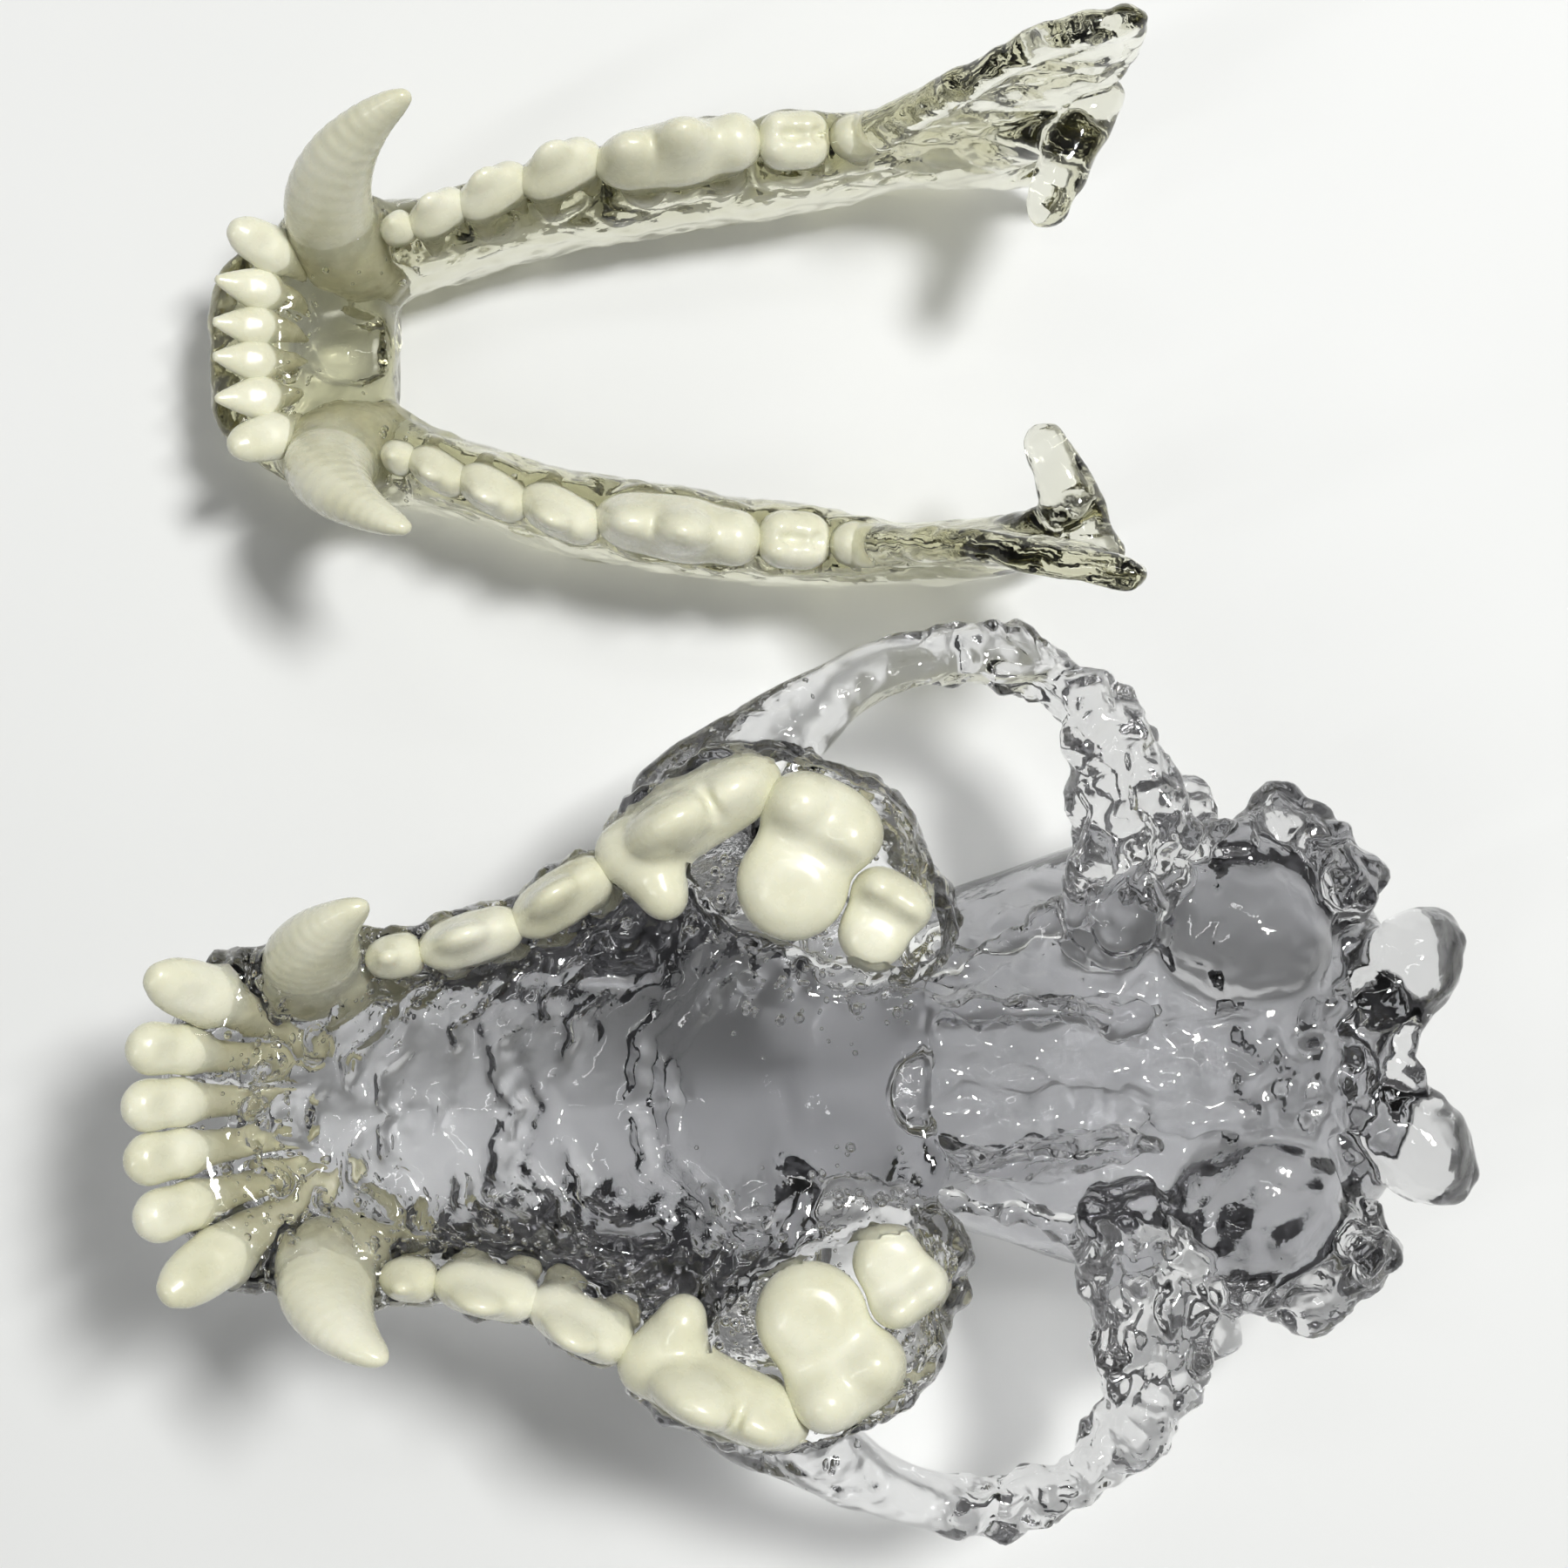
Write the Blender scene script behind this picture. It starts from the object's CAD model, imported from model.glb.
import math

import bpy
import numpy as np
from mathutils import Matrix, Vector, noise


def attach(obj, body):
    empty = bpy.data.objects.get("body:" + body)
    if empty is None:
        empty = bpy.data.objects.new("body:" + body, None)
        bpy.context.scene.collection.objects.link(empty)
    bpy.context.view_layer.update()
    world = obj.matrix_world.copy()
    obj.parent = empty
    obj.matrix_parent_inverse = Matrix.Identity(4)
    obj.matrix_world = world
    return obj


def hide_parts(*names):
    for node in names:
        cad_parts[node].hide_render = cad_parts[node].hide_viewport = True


# Looks for the canine typodont. Both clear jaws and every tooth are modelled as soft distance
# fields, in millimetres, in each jaw's own frame: x runs back from the front of the bone, y to the
# side and z up from the table. A field is turned into a mesh, scaled to metres and set on the CAD.

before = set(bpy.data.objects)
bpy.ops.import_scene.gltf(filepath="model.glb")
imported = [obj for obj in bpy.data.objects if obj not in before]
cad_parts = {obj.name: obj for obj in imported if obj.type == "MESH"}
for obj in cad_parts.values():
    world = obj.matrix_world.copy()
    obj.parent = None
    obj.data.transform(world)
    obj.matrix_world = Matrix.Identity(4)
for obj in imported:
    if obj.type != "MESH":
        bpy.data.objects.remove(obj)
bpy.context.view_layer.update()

MM = 0.001
SKULL_TURN = 2.5            # degrees that the skull is turned about +Z
PALATE_Z = 46.5             # height of the upper gum margin
PALATE_END = 77.0           # x of the palate's back edge
SKULL_LENGTH = 133.0
ARCH_WIDTH = 94.0           # across both cheek arches
JAW_GUM_Z = 21.0            # height of the lower gum margin
JAW_LEAD = 1.5              # how far the lower jaw's lip reaches ahead of its frame's origin
SKULL_STEP = 0.6            # grid step of the skull's field
JAW_STEP = 0.5
TOOTH_STEP = 0.3
FAR = 50.0                  # a distance that no shape reaches
THINNEST = 0.02             # least radius of a bar
RELAX_PULL = 0.5            # share of the way that a corner moves to its neighbours' mean
RELAX_BACK = 0.52           # and back again
ROOT_TOP = 0.4              # height over the gum where a tooth's root colour starts
ROOT_FADE = 2.4             # and the depth that it takes to reach it in full
NECK_DEPTH = 1.6            # how far under the gum the resin's collar lies
RIDGES = 10                 # cross ridges of the palate


# ---------------------------------------------------------------- distance fields

def smooth_min(a, b, blend):
    h = np.clip(0.5 + 0.5 * (b - a) / blend, 0, 1)
    return b + (a - b) * h - blend * h * (1 - h)


def smooth_max(a, b, blend):
    return -smooth_min(-a, -b, blend)


def curve_at(xs, ys, x):
    """A smooth curve through (xs, ys), read at x: a cubic with slopes from the neighbours."""
    xs, ys = np.array(xs, float), np.array(ys, float)
    slopes = np.gradient(ys, xs)
    x = np.clip(x, xs[0], xs[-1])
    i = np.clip(np.searchsorted(xs, x) - 1, 0, len(xs) - 2)
    span = xs[i + 1] - xs[i]
    t = (x - xs[i]) / span
    t2, t3 = t * t, t * t * t
    return ((2 * t3 - 3 * t2 + 1) * ys[i] + (t3 - 2 * t2 + t) * span * slopes[i]
            + (3 * t2 - 2 * t3) * ys[i + 1] + (t3 - t2) * span * slopes[i + 1])


class Clay:
    """A block of signed distances that shapes are softly added to and cut from."""

    def __init__(self, low, high, step):
        self.low = np.array(low, float)
        self.step = step
        counts = np.ceil((np.array(high, float) - self.low) / step).astype(int) + 1
        self.value = np.full(counts, FAR, np.float32)

    def window(self, low, high, margin):
        first = np.floor((np.array(low) - margin - self.low) / self.step).astype(int)
        last = np.ceil((np.array(high) + margin - self.low) / self.step).astype(int) + 1
        first = np.clip(first, 0, self.value.shape)
        last = np.clip(last, 0, self.value.shape)
        where = tuple(slice(a, b) for a, b in zip(first, last))
        axes = [self.low[i] + self.step * np.arange(first[i], last[i]) for i in range(3)]
        return where, np.meshgrid(*[a.astype(np.float32) for a in axes], indexing="ij", sparse=True)

    def add(self, shape, blend=1.0):
        low, high, distance = shape
        where, grid = self.window(low, high, blend + 2 * self.step)
        if self.value[where].size:
            self.value[where] = smooth_min(self.value[where], distance(*grid), blend)

    def cut(self, shape, blend):
        low, high, distance = shape
        where, grid = self.window(low, high, blend + 2 * self.step)
        if self.value[where].size:
            self.value[where] = smooth_max(self.value[where], -distance(*grid), blend)

    def swell(self, low, high, amount):
        """Moves the surface out by amount(x, y, z) inside a box."""
        where, grid = self.window(low, high, 0)
        self.value[where] -= amount(*grid)

    def mirrored(self):
        """The block and its mirror image, for a block that starts at y = 0."""
        whole = Clay(self.low, self.low + 1, self.step)
        whole.value = np.concatenate([self.value[:, :0:-1], self.value], axis=1)
        whole.low = self.low - np.array([0, self.step * (self.value.shape[1] - 1), 0])
        return whole


def ball(centre, radii, turn=(0, 0, 0)):
    """An ellipsoid, turned by degrees about x, y and z."""
    spin = Matrix.Identity(3)
    for axis, degrees in zip("XYZ", turn):
        spin = Matrix.Rotation(math.radians(degrees), 3, axis) @ spin
    back = np.array(spin.transposed(), np.float32)
    reach = max(radii)
    radii = np.array(radii, np.float32)

    def distance(x, y, z):
        rel = (x - centre[0], y - centre[1], z - centre[2])
        local = [sum(back[i][j] * rel[j] for j in range(3)) for i in range(3)]
        k0 = np.sqrt(sum((local[i] / radii[i]) ** 2 for i in range(3)))
        k1 = np.sqrt(sum((local[i] / radii[i] ** 2) ** 2 for i in range(3)))
        return k0 * (k0 - 1) / np.maximum(k1, 1e-4)

    centre = np.array(centre, np.float32)
    return centre - reach, centre + reach, distance


def soft_path(points, per_run):
    """Points on a smooth curve through the given ones."""
    points = np.array(points, float)
    steps = np.arange(len(points))
    t = np.linspace(0, len(points) - 1, (len(points) - 1) * per_run + 1)
    return np.stack([curve_at(steps, points[:, i], t) for i in range(points.shape[1])], axis=1)


def horn(points, radii, stretch=(1, 1, 1), per_run=4):
    """A tapering bar along a smooth curve. stretch widens its round section along x, y and z."""
    stretch = np.array(stretch, float)
    path = soft_path(np.column_stack([np.array(points, float), np.array(radii, float)]), per_run)
    spots, girth = path[:, :3] / stretch, np.maximum(path[:, 3], THINNEST)
    least = stretch.min()

    def distance(x, y, z):
        x, y, z = x / stretch[0], y / stretch[1], z / stretch[2]
        best = None
        for a, b, ra, rb in zip(spots[:-1], spots[1:], girth[:-1], girth[1:]):
            run = b - a
            length = max(run @ run, 1e-9)
            t = np.clip(((x - a[0]) * run[0] + (y - a[1]) * run[1] + (z - a[2]) * run[2]) / length, 0, 1)
            gap = np.sqrt((x - a[0] - t * run[0]) ** 2 + (y - a[1] - t * run[1]) ** 2
                          + (z - a[2] - t * run[2]) ** 2) - (ra + t * (rb - ra))
            best = gap if best is None else np.minimum(best, gap)
        return best * least

    reach = girth[:, None] * stretch
    return (path[:, :3] - reach).min(0), (path[:, :3] + reach).max(0), distance


def hull_body(stations, power, end_blend):
    """A body along x. Each station: x, middle y, low z, high z, half width low, half width high."""
    table = np.array(stations, float)
    xs = table[:, 0]

    def distance(x, y, z):
        middle, low, high, wide_low, wide_high = [curve_at(xs, table[:, i], x) for i in range(1, 6)]
        share = np.clip((z - low) / (high - low), 0, 1)
        half = wide_low + (wide_high - wide_low) * share
        tall = (high - low) / 2
        gauge = (np.abs((y - middle) / half) ** power
                 + np.abs((z - low - tall) / tall) ** power) ** (1 / power)
        side = (gauge - 1) * np.minimum(half, tall)
        return smooth_max(side, np.maximum(xs[0] - x, x - xs[-1]), end_blend)

    widest = table[:, 4:6].max(1)
    low = (xs[0], (table[:, 1] - widest).min(), table[:, 2].min())
    high = (xs[-1], (table[:, 1] + widest).max(), table[:, 3].max())
    return np.array(low), np.array(high), distance


# ---------------------------------------------------------------- meshes

def surface_net(clay):
    """Corners and square faces of the zero surface of a block of distances."""
    value = clay.value.astype(np.float64)
    cells = np.array(value.shape) - 1
    strides = np.array([cells[1] * cells[2], cells[2], 1])
    total = int(cells.prod())
    place = np.zeros((total, 3))
    count = np.zeros(total)
    quads = []
    for axis in range(3):
        first = [slice(None)] * 3
        second = [slice(None)] * 3
        first[axis] = slice(0, -1)
        second[axis] = slice(1, None)
        a, b = value[tuple(first)], value[tuple(second)]
        crossing = (a < 0) != (b < 0)
        at = np.argwhere(crossing)
        spot = at.astype(float)
        va, vb = a[crossing], b[crossing]
        spot[:, axis] += va / (va - vb)
        u, v = (axis + 1) % 3, (axis + 2) % 3
        corners = []
        for du, dv in ((-1, -1), (0, -1), (0, 0), (-1, 0)):
            cell = at.copy()
            cell[:, u] += du
            cell[:, v] += dv
            corners.append(cell @ strides)
            inside = ((cell >= 0) & (cell < cells)).all(1)
            ids = (cell @ strides)[inside]
            count += np.bincount(ids, minlength=total)
            for k in range(3):
                place[:, k] += np.bincount(ids, weights=spot[inside, k], minlength=total)
        clear = (at[:, u] > 0) & (at[:, v] > 0) & (at[:, u] < cells[u]) & (at[:, v] < cells[v])
        ring = np.stack(corners, axis=1)[clear]
        ring[vb[clear] < 0] = ring[vb[clear] < 0][:, ::-1]
        quads.append(ring)
    quads = np.concatenate(quads)
    used = np.unique(quads)
    renumber = np.zeros(total, int)
    renumber[used] = np.arange(len(used))
    corners = place[used] / count[used][:, None] * clay.step + clay.low
    return corners, renumber[quads]


def relaxed(corners, quads, rounds):
    """Evens out a mesh: each corner moves towards its neighbours' mean, and partly back again."""
    edges = np.concatenate([quads[:, [i, (i + 1) % 4]] for i in range(4)])
    edges = np.concatenate([edges, edges[:, ::-1]])
    near = np.bincount(edges[:, 0], minlength=len(corners))[:, None]
    for step in range(2 * rounds):
        mean = np.stack([np.bincount(edges[:, 0], weights=corners[edges[:, 1], k], minlength=len(corners))
                         for k in range(3)], axis=1) / near
        corners = corners + (mean - corners) * (RELAX_PULL if step % 2 == 0 else -RELAX_BACK)
    return corners


def mesh_piece(name, corners, faces, placement, body, material, marks=None):
    """A shown piece from corners in millimetres in a jaw's frame. marks is one number a corner,
    which the material reads as the attribute "depth"."""
    mesh = bpy.data.meshes.new(name)
    mesh.vertices.add(len(corners))
    mesh.vertices.foreach_set("co", np.asarray(corners, np.float32).ravel())
    mesh.loops.add(faces.size)
    mesh.loops.foreach_set("vertex_index", faces.astype(np.int32).ravel())
    mesh.polygons.add(len(faces))
    mesh.polygons.foreach_set("loop_start", (np.arange(len(faces)) * faces.shape[1]).astype(np.int32))
    mesh.update(calc_edges=True)
    mesh.polygons.foreach_set("use_smooth", np.ones(len(faces), bool))
    mesh.transform(placement)
    if marks is not None:
        mesh.attributes.new("depth", "FLOAT", "POINT").data.foreach_set("value", marks.astype(np.float32))
    mesh.materials.append(material)
    piece = bpy.data.objects.new(name, mesh)
    bpy.context.scene.collection.objects.link(piece)
    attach(piece, body)
    return piece


def corner_normals(corners, quads):
    across = corners[quads[:, 2]] - corners[quads[:, 0]]
    along = corners[quads[:, 3]] - corners[quads[:, 1]]
    face = np.cross(across, along)
    normals = np.stack([sum(np.bincount(quads[:, i], weights=face[:, k], minlength=len(corners))
                            for i in range(4)) for k in range(3)], axis=1)
    return normals / np.maximum(np.linalg.norm(normals, axis=1, keepdims=True), 1e-12)


def lumpy(corners, quads, layers, seed):
    """Moves the surface in and out by soft noise. Each layer: size of a lump, height, where."""
    normals = corner_normals(corners, quads)
    offset = Vector((seed * 13.7, seed * 7.1, seed * 3.3))
    shift = np.zeros(len(corners))
    for size, height, weight in layers:
        wave = np.array([noise.noise(Vector(c) / size + offset) for c in corners])
        shift += wave * height * weight(corners)
    return corners + normals * shift[:, None]


# ---------------------------------------------------------------- frames of the two jaws

def jaw_placement(node, turn, lead):
    """From millimetres in a jaw's own frame to the row frame: its bone's front and midline are
    read from the CAD node, in the node's turned axes."""
    spin = Matrix.Rotation(math.radians(turn), 3, "Z")
    back = np.array(spin.transposed())
    spots = np.array([v.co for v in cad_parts[node].data.vertices]) @ back.T
    front = spots[:, 0].min() + lead * MM
    middle = (spots[:, 1].min() + spots[:, 1].max()) / 2
    origin = spin @ Vector((front, middle, 0.0))
    return Matrix.Translation(origin) @ spin.to_4x4() @ Matrix.Scale(MM, 4)


SKULL_PLACE = jaw_placement("skull", SKULL_TURN, 0.0)
JAW_PLACE = jaw_placement("lower_jaw", 0.0, JAW_LEAD)


# ---------------------------------------------------------------- teeth
# In a tooth's own frame x is its long direction, +y its cheek side, +z its tip and z = 0 the gum.
# Each recipe is a list of (add or cut, shape, blend).

def incisor(length, width, height, root, point=0.0, root_way=(-0.86, -1.0)):
    """A crown on a tapered root. point is 0 for a broad rounded edge and 1 for a pointed tip.
    root_way is where the root's end lies, in shares of the width outward and of the root down."""
    half = length / 2
    broad, narrow = 1 - point, point
    girth = [half * (0.74 * broad + 1.0 * narrow), half * (0.92 * broad + 0.88 * narrow),
             half * (0.98 * broad + 0.52 * narrow), half * (0.72 * broad + 0.20 * narrow)]
    top = height - girth[3] * 0.62
    crown = [(0, 0, height * 0.10), (0, width * 0.03, height * 0.40), (0, width * 0.07, height * 0.70),
             (0, width * 0.10, top)]
    out, down = root_way[0] * width, root_way[1] * (root - 0.8)
    shaft = [(0, 0, 0.8), (0, out * 0.12, down * 0.36), (0, out * 0.52, down * 0.72), (0, out, down)]
    return [
        ("add", horn(crown, girth, (1, width / length * 0.86, 0.62)), 0.6),
        ("cut", ball((0, -width * 0.52, height * 0.58), (half * 0.52, width * 0.20, height * 0.26)), 0.8),
        ("add", horn(shaft, [half * 0.80, half * 0.62, half * 0.42, half * 0.20]), 1.4),
    ]


def canine(length, width, height, root, sweep):
    radius = height / math.radians(sweep)
    spots, girth = [], []
    for share, thick in ((-1.0, 0.28), (-0.78, 0.70), (-0.45, 0.98), (-0.1, 1.0), (0.12, 1.0), (0.32, 0.92),
                         (0.55, 0.75), (0.76, 0.54), (0.90, 0.38), (0.97, 0.24)):
        angle = math.radians(sweep) * share if share > 0 else root / radius * share
        spots.append((radius * (1 - math.cos(angle)), 0, radius * math.sin(angle)))
        girth.append(length / 2 * thick * (0.96 if share <= 0 else 1.0))
    # the bar's ends are round, so its path stops a little short of the crown's tip
    return [("add", horn(spots, girth, (1, width / length, 1), per_run=3), 0.5)]


def blade(x, half, thick, height, lean=0.0):
    """One soft cusp of a cheek tooth: long at the gum and narrower at its rounded tip."""
    flat = thick / half
    squash = 0.8 if half > 3 else 1.0
    tip = half * 0.26
    spots = [(x, 0, height * 0.08), (x + lean * 0.3, 0, height * 0.42), (x + lean * 0.7, 0, height * 0.72),
             (x + lean, 0, height - tip * squash)]
    return horn(spots, [half * 0.94, half * 0.80, half * 0.54, tip], (1, flat, squash))


def lobe(sizes, place, radii):
    """An ellipsoid with its centre and radii in shares of a tooth's length, width and height."""
    return ball([size * share for size, share in zip(sizes, place)],
                [size * share for size, share in zip(sizes, radii)])


def gum_belt(length, width, low, high):
    """The swollen belt of a crown just over the gum."""
    middle = (low + high) / 2
    return ball((0, 0, middle), (length / 2, width / 2, (high - low) / 2 + 0.6))


def premolar(length, width, height, root, roots=2):
    parts = [
        ("add", gum_belt(length * 0.99, width, -0.8, height * 0.36), 0.5),
        ("add", blade(-length * 0.04, length * 0.40, width * 0.42, height, lean=length * 0.03), 1.6),
        ("add", blade(length * 0.32, length * 0.16, width * 0.36, height * 0.50), 1.5),
    ]
    if roots == 1:
        return parts + [("add", horn([(0, 0, 0.5), (0.1, 0, -root * 0.5), (0.3, 0, -root + 0.7)],
                                     [length * 0.28, length * 0.22, 0.6], (1, 0.85, 1)), 1.0)]
    flat = min(1.0, width * 0.42 / (length * 0.20))
    for side, lean in ((-1, -0.5), (1, 0.7)):
        x = side * length * 0.235
        parts.append(("add", horn([(x, 0, 0.4), (x + lean * 0.3, 0, -root * 0.5), (x + lean, 0, -root + 0.7)],
                                  [length * 0.20, length * 0.155, 0.55], (1, flat, 1)), 1.0))
    return parts


def molar_root(x, y, half_long, half_wide, root, lean_x=0.0, lean_y=0.0):
    flat = half_wide / half_long
    return horn([(x, y, 0.5), (x + lean_x * 0.3, y + lean_y * 0.3, -root * 0.5),
                 (x + lean_x, y + lean_y, -root + 0.6)],
                [half_long, half_long * 0.78, half_long * 0.34], (1, flat, 1))


def upper_carnassial(length, width, height, root):
    """A long smooth blade with a lobe at its front inner corner."""
    inner = -width * 0.58
    front = -length * 0.30
    return [
        ("add", ball((0, 0, 0.8), (length * 0.495, width * 0.40, 2.6)), 0.5),
        ("add", blade(-length * 0.10, length * 0.33, width * 0.42, height, lean=length * 0.05), 2.0),
        ("add", blade(length * 0.25, length * 0.24, width * 0.38, height * 0.72, lean=length * 0.02), 2.0),
        ("add", ball((-length * 0.38, 0, height * 0.16), (length * 0.12, width * 0.34, height * 0.30)), 1.6),
        ("cut", horn([(length * 0.15, width, height * 0.74), (length * 0.13, -width, height * 0.74)],
                     [0.35, 0.35], (1, 1, 2.6)), 1.0),
        ("add", ball((front, inner, height * 0.10), (length * 0.13, width * 0.36, height * 0.32)), 2.2),
        ("add", ball((front + 0.4, -width * 0.3, 0.2), (length * 0.16, width * 0.34, height * 0.22)), 1.6),
        ("add", molar_root(front, width * 0.05, length * 0.12, width * 0.30, root, -0.8), 1.0),
        ("add", molar_root(length * 0.26, 0, length * 0.16, width * 0.32, root, 0.8), 1.0),
        ("add", molar_root(front, inner, length * 0.08, width * 0.22, root * 0.8, 0, -0.6), 1.0),
    ]


def upper_molar(length, width, height, root):
    """Wide across the jaw: two soft cheek cusps and a large round inner heel."""
    sizes = (length, width, height)
    return [
        ("add", lobe(sizes, (0, 0.22, 0.16), (0.48, 0.25, 0.42)), 0.5),
        ("add", lobe(sizes, (-0.05, -0.16, 0.14), (0.44, 0.33, 0.52)), 2.6),
        ("add", lobe(sizes, (-0.20, 0.28, 0.42), (0.24, 0.17, 0.50)), 2.0),
        ("add", lobe(sizes, (0.25, 0.19, 0.34), (0.21, 0.16, 0.44)), 2.0),
        ("cut", horn([(-length * 0.34, width * 0.04, height * 0.86),
                      (length * 0.30, width * 0.02, height * 0.80)], [0.7, 0.7], (1, 1, 1.4)), 2.0),
        ("cut", lobe(sizes, (-0.02, -0.20, 0.86), (0.24, 0.14, 0.20)), 1.6),
        ("add", molar_root(-length * 0.22, width * 0.24, length * 0.15, width * 0.10, root, 0, 0.8), 0.9),
        ("add", molar_root(length * 0.22, width * 0.18, length * 0.14, width * 0.10, root, 0, 0.8), 0.9),
        ("add", molar_root(-length * 0.04, -width * 0.24, length * 0.20, width * 0.12, root * 0.9,
                           lean_y=-0.8), 0.9),
    ]


def lower_carnassial(length, width, height, root):
    """A long smooth blade of two lobes with a low heel behind."""
    return [
        ("add", ball((0, 0, 0.6), (length * 0.495, width * 0.46, 2.6)), 0.5),
        ("add", blade(-length * 0.27, length * 0.23, width * 0.42, height * 0.78, lean=-0.2), 1.8),
        ("add", blade(length * 0.03, length * 0.26, width * 0.45, height, lean=0.3), 1.8),
        ("cut", horn([(-length * 0.145, width, height * 0.78), (-length * 0.145, -width, height * 0.78)],
                     [0.30, 0.30], (1, 1, 2.6)), 0.9),
        ("add", ball((length * 0.36, 0, height * 0.20), (length * 0.14, width * 0.40, height * 0.34)), 1.8),
        ("add", molar_root(-length * 0.22, 0, length * 0.17, width * 0.36, root, -0.5), 1.0),
        ("add", molar_root(length * 0.25, 0, length * 0.155, width * 0.34, root, 1.2), 1.0),
    ]


def lower_molar(length, width, height, root, roots=2):
    sizes = (length, width, height)
    parts = [("add", lobe(sizes, (0, 0, 0.18), (0.49, 0.48, 0.50)), 0.5)]
    if roots == 1:
        return parts + [
            ("add", lobe(sizes, (-0.05, 0, 0.45), (0.30, 0.30, 0.42)), 1.0),
            ("add", horn([(0, 0, 0.4), (0.3, 0, -root * 0.5), (0.7, 0, -root + 0.7)],
                         [length * 0.30, length * 0.22, 0.6]), 1.0),
        ]
    for x, y, tall in ((-0.22, 0.20, 0.96), (-0.22, -0.20, 0.88), (0.20, 0.18, 0.70), (0.20, -0.18, 0.60)):
        parts.append(("add", ball((length * x, width * y, height * tall * 0.46),
                                  (length * 0.21, width * 0.22, height * tall * 0.52)), 1.6))
    return parts + [
        ("cut", lobe(sizes, (0.02, 0, 0.80), (0.20, 0.09, 0.24)), 0.7),
        ("cut", lobe(sizes, (0.34, 0, 0.62), (0.10, 0.14, 0.14)), 0.7),
        ("add", molar_root(-length * 0.20, 0, length * 0.18, width * 0.34, root, -0.2), 1.0),
        ("add", molar_root(length * 0.21, 0, length * 0.16, width * 0.32, root, 1.0), 1.0),
    ]


DOWN = (0.70, -0.82)        # a root that drops straight down under a crown that leans forward

# name: recipe, its sizes (length, width, height, root, ...), then x, side, height over the gum,
# turn, lean of the tip back and lean towards the cheek
UPPER_TEETH = {
    "incisor_1": (incisor, (5.3, 4.6, 7.8, 12.0), 4.2, 2.5, -0.8, 88, 0, 38),
    "incisor_2": (incisor, (5.4, 4.8, 8.0, 12.5), 5.0, 7.5, -0.8, 79, 0, 38),
    "incisor_3": (incisor, (6.8, 6.0, 9.6, 14.0, 0.45), 7.4, 12.4, -0.8, 58, 0, 34),
    "canine": (canine, (9.6, 7.2, 15.4, 17.0, 58), 17.0, 15.4, -0.8, 14, 4, 20),
    "premolar_1": (premolar, (5.3, 4.0, 4.4, 6.5, 1), 25.1, 15.9, 0, 8, 0, 4),
    "premolar_2": (premolar, (10.4, 4.9, 6.0, 8.0), 32.8, 17.3, 0, 15, 0, 8),
    "premolar_3": (premolar, (11.0, 5.3, 7.0, 9.0), 41.9, 20.9, 0, 31, 0, 8),
    "premolar_4": (upper_carnassial, (19.6, 8.4, 9.0, 10.5), 54.8, 28.2, 0, 27, 0, 5),
    "molar_1": (upper_molar, (12.6, 17.4, 7.0, 9.0), 66.3, 23.8, -0.2, -22, 0, 0),
    "molar_2": (upper_molar, (8.0, 10.2, 5.2, 7.0), 73.4, 17.4, -0.4, -24, 0, 0),
}
LOWER_TEETH = {
    "incisor_1": (incisor, (4.4, 4.2, 6.6, 7.0, 0.9, DOWN), 6.0, 1.85, -2.0, 90, 0, 46),
    "incisor_2": (incisor, (4.6, 4.4, 6.8, 7.0, 0.9, DOWN), 6.4, 5.7, -2.0, 82, 0, 46),
    "incisor_3": (incisor, (5.4, 5.0, 7.4, 7.0, 0.4, DOWN), 7.8, 9.7, -1.8, 66, 0, 40),
    "canine": (canine, (9.6, 7.4, 25.5, 12.0, 60), 13.4, 12.4, -1.0, 10, 0, 21),
    "premolar_1": (premolar, (3.4, 3.0, 3.6, 4.0, 1), 20.4, 12.3, -0.8, 26, 0, 6),
    "premolar_2": (premolar, (6.6, 3.8, 5.0, 4.6), 24.9, 13.8, -0.6, 32, 0, 14),
    "premolar_3": (premolar, (8.2, 4.4, 5.6, 5.0), 30.9, 16.1, -0.4, 31, 0, 15),
    "premolar_4": (premolar, (9.2, 5.0, 6.6, 5.6), 38.2, 18.4, -0.2, 27, 0, 15),
    "molar_1": (lower_carnassial, (17.8, 7.2, 9.0, 6.4), 50.9, 20.2, 0, 9, 0, 6),
    "molar_2": (lower_molar, (7.8, 6.4, 4.6, 5.0), 63.4, 21.5, 0.2, 4, 0, 2),
    "molar_3": (lower_molar, (5.2, 5.0, 3.4, 4.4, 1), 69.8, 21.9, 0.8, 2, 0, 0),
}


def tooth_pose(gum, x, side, rise, turn, tip_back, flare):
    """From a left tooth's own frame to its jaw's frame."""
    spin = (Matrix.Rotation(math.radians(turn), 4, "Z")
            @ Matrix.Rotation(math.radians(-flare), 4, "X")
            @ Matrix.Rotation(math.radians(tip_back), 4, "Y"))
    return Matrix.Translation((x, side, gum + rise)) @ spin


def tooth_mesh(recipe):
    low = np.min([shape[0] for how, shape, blend in recipe if how == "add"], axis=0) - 1.0
    high = np.max([shape[1] for how, shape, blend in recipe if how == "add"], axis=0) + 1.0
    clay = Clay(low, high, TOOTH_STEP)
    for how, shape, blend in recipe:
        getattr(clay, how)(shape, blend)
    corners, quads = surface_net(clay)
    return relaxed(corners, quads, 2), quads


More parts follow.
